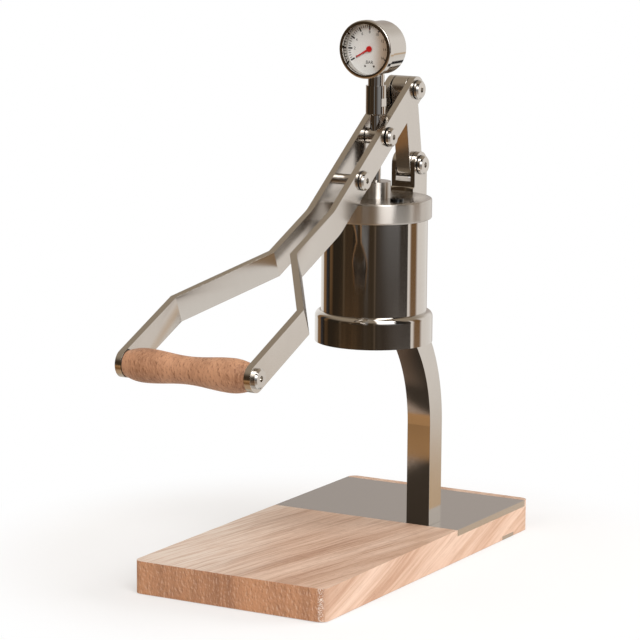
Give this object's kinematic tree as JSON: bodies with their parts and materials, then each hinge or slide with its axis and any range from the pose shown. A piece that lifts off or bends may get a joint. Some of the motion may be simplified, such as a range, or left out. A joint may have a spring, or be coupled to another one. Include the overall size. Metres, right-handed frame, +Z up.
{
  "type": "manual lever espresso maker",
  "caption": "Manual lever espresso maker: bent square post on a wooden board, steel boiler and brewing group, forked lever with a turned wooden grip, and a pressure gauge on the piston rod.",
  "frame": {"origin": "middle of the board's underside", "axes": "+Z up, -Y towards the user in front, +X to the user's right"},
  "size_m": [0.187, 0.477, 0.4272],
  "materials": {
    "board_wood": "oiled, satin",
    "grip_wood": "turned and oiled",
    "polished_steel": "polished",
    "satin_steel": "fine satin",
    "plate_steel": "satin",
    "bolt_steel": "polished",
    "screw_steel": "plain",
    "black_plastic": "black",
    "black_rubber": "black",
    "bronze": "plain",
    "dial_white": "white enamel",
    "pointer_red": "red enamel",
    "lens_glass": "clear"
  },
  "bodies": {
    "frame": {"base_board": "board_wood", "base_plate": "plate_steel", "base_tie_bar": "plate_steel", "board_screws": "screw_steel", "post": "satin_steel", "post_screws": "screw_steel", "group_ring": "polished_steel", "brew_cylinder": "polished_steel", "shower_screen": "satin_steel", "group_gasket": "black_rubber", "boiler_body": "polished_steel", "boiler_saddle": "satin_steel", "saddle_screws": "screw_steel", "lid": "polished_steel", "lid_seal": "black_rubber", "rod_guide": "polished_steel", "fill_plug": "bolt_steel", "fork_bolt": "bolt_steel", "fork_washer": "black_plastic"},
    "rod": {"piston": "polished_steel", "piston_seals": "black_rubber", "piston_rod": "polished_steel", "crosshead": "polished_steel", "crosshead_bolt": "bolt_steel", "crosshead_washer": "black_plastic", "gauge_coupling": "polished_steel", "gauge_neck": "polished_steel", "gauge_case": "polished_steel", "gauge_bezel": "polished_steel", "gauge_lens": "lens_glass", "gauge_dial": "dial_white", "gauge_tube": "bronze"},
    "pointer": {"gauge_pointer": "pointer_red"},
    "link": {"link": "satin_steel", "link_bushes": "bronze", "link_axle": "bolt_steel"},
    "lever": {"lever_arm_right": "satin_steel", "lever_arm_left": "satin_steel", "lever_end_bolt": "bolt_steel", "lever_washers": "black_plastic", "arm_spacer": "polished_steel", "spacer_bolt": "bolt_steel", "grip": "grip_wood", "grip_tube": "polished_steel", "grip_bolt": "bolt_steel"}
  },
  "joints": [
    {"name": "rod_lift", "type": "slide", "parent": "frame", "child": "rod", "axis": [0, 0, 1], "range_m": [0, 0.059]},
    {"name": "lever_swing", "type": "hinge", "parent": "rod", "child": "lever", "pos_m": [0.047, -0.0338, 0.3395], "axis": [-1, 0, 0], "range_deg": [0, 65]},
    {"name": "link_swing", "type": "hinge", "parent": "frame", "child": "link", "pos_m": [0.047, 0.0207, 0.3128], "axis": [-1, 0, 0], "range_deg": [0, 3.1]},
    {"name": "pointer_turn", "type": "hinge", "parent": "rod", "child": "pointer", "pos_m": [0.047, -0.0445, 0.4054], "axis": [0, 1, 0], "range_deg": [0, 240], "stiffness_Nm_per_rad": 0.0005}
  ],
  "couplings": [
    {"joint": "rod_lift", "follows": "lever_swing", "m_per_rad": 0.05195},
    {"joint": "link_swing", "follows": "lever_swing", "ratio": 0.04612}
  ]
}
